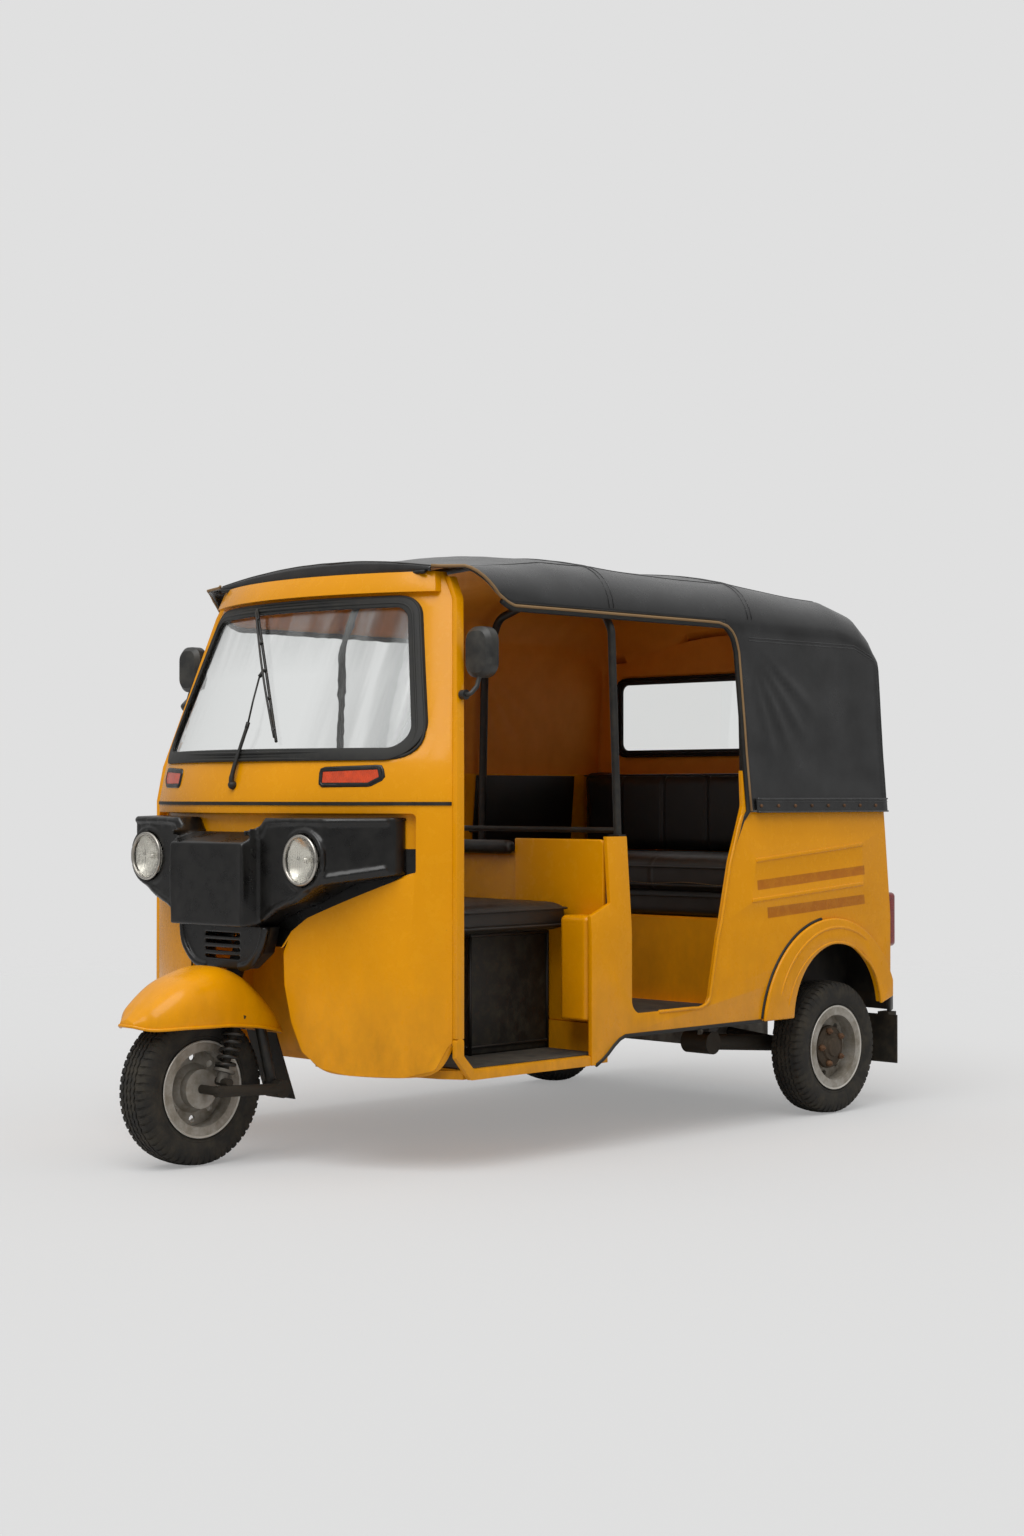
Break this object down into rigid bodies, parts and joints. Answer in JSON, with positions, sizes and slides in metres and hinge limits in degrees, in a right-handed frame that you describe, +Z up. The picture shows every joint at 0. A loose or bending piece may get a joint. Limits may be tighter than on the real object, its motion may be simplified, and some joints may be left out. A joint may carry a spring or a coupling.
{
  "type": "auto rickshaw",
  "caption": "Three-wheeled passenger taxi with a yellow steel body, black vinyl hood, open sides, handlebar steering and a hinged engine door.",
  "frame": {"origin": "on the ground under the middle of the whole vehicle's box", "axes": "+X to the vehicle's left, +Y to its rear, +Z up"},
  "size_m": [1.322, 2.613, 1.68],
  "materials": {
    "yellow_paint": "gloss, worn",
    "black_plastic": "grained",
    "black_rubber": "matt",
    "clear_glass": "clear",
    "lamp_chrome": "bright",
    "orange_lens": "gloss",
    "red_lens": "gloss",
    "hood_vinyl": "coated cloth",
    "seat_vinyl": "vinyl",
    "black_steel": "satin",
    "inner_paint": "dirty",
    "tyre_rubber": "matt",
    "rim_steel": "dirty silver",
    "link_steel": "oily",
    "mirror_face": "silvered",
    "engine_alloy": "cast"
  },
  "bodies": {
    "body": {"air_duct": "black_plastic", "bench_back": "seat_vinyl", "bench_base": "inner_paint", "bench_cushion": "seat_vinyl", "cowl": "yellow_paint", "cowl_strip": "black_rubber", "dashboard": "black_plastic", "door_surrounds": "yellow_paint", "drive_shafts": "link_steel", "driver_back_pad": "seat_vinyl", "driver_seat": "seat_vinyl", "driver_seat_box": "black_steel", "engine": "engine_alloy", "floor": "inner_paint", "floor_mats": "black_rubber", "half_partition": "yellow_paint", "headlamp_bowls": "lamp_chrome", "headlamp_lenses": "clear_glass", "hood": "hood_vinyl", "indicator_frames": "black_plastic", "indicator_lenses": "orange_lens", "lamp_panel": "black_plastic", "mirror_glasses": "mirror_face", "mirrors": "black_plastic", "rear_arms": "link_steel", "rear_bumper": "black_steel", "rear_hoop": "black_steel", "rear_mud_flaps": "black_rubber", "rear_springs": "black_steel", "rear_wall": "yellow_paint", "rear_window": "clear_glass", "rear_window_seal": "black_rubber", "side_boxes": "yellow_paint", "side_panel_left": "yellow_paint", "side_panel_right": "yellow_paint", "side_trim_pads": "seat_vinyl", "tail_lamps": "red_lens", "underframe": "black_steel", "upright_frame": "black_steel", "wheel_arches": "yellow_paint", "wheel_tubs": "black_steel", "wheel_well": "inner_paint", "windscreen": "clear_glass", "windscreen_seal": "black_rubber", "wiper": "black_steel"},
    "steering": {"steering_column": "black_steel", "front_link": "link_steel", "front_damper": "link_steel", "front_spring": "black_steel", "front_fender": "yellow_paint", "front_mud_flap": "black_rubber"},
    "front_wheel": {"front_tyre": "tyre_rubber", "front_wheel": "rim_steel"},
    "rear_left_wheel": {"rear_left_tyre": "tyre_rubber", "rear_left_wheel": "rim_steel"},
    "rear_right_wheel": {"rear_right_tyre": "tyre_rubber", "rear_right_wheel": "rim_steel"},
    "engine_door": {"engine_door": "yellow_paint"}
  },
  "joints": [
    {"name": "steer", "type": "hinge", "parent": "body", "child": "steering", "pos_m": [0, -0.94657, 0.5], "axis": [0, 0.3584, 0.9336], "range_deg": [-38, 38]},
    {"name": "front_spin", "type": "hinge", "parent": "steering", "child": "front_wheel", "pos_m": [0, -1.0935, 0.203], "axis": [1, 0, 0], "continuous": true},
    {"name": "rear_left_spin", "type": "hinge", "parent": "body", "child": "rear_left_wheel", "pos_m": [0.573, 0.9065, 0.203], "axis": [1, 0, 0], "continuous": true},
    {"name": "rear_right_spin", "type": "hinge", "parent": "body", "child": "rear_right_wheel", "pos_m": [-0.573, 0.9065, 0.203], "axis": [1, 0, 0], "continuous": true},
    {"name": "engine_door_hinge", "type": "hinge", "parent": "body", "child": "engine_door", "pos_m": [0, 1.1795, 0.815], "axis": [1, 0, 0], "range_deg": [0, 75]}
  ]
}
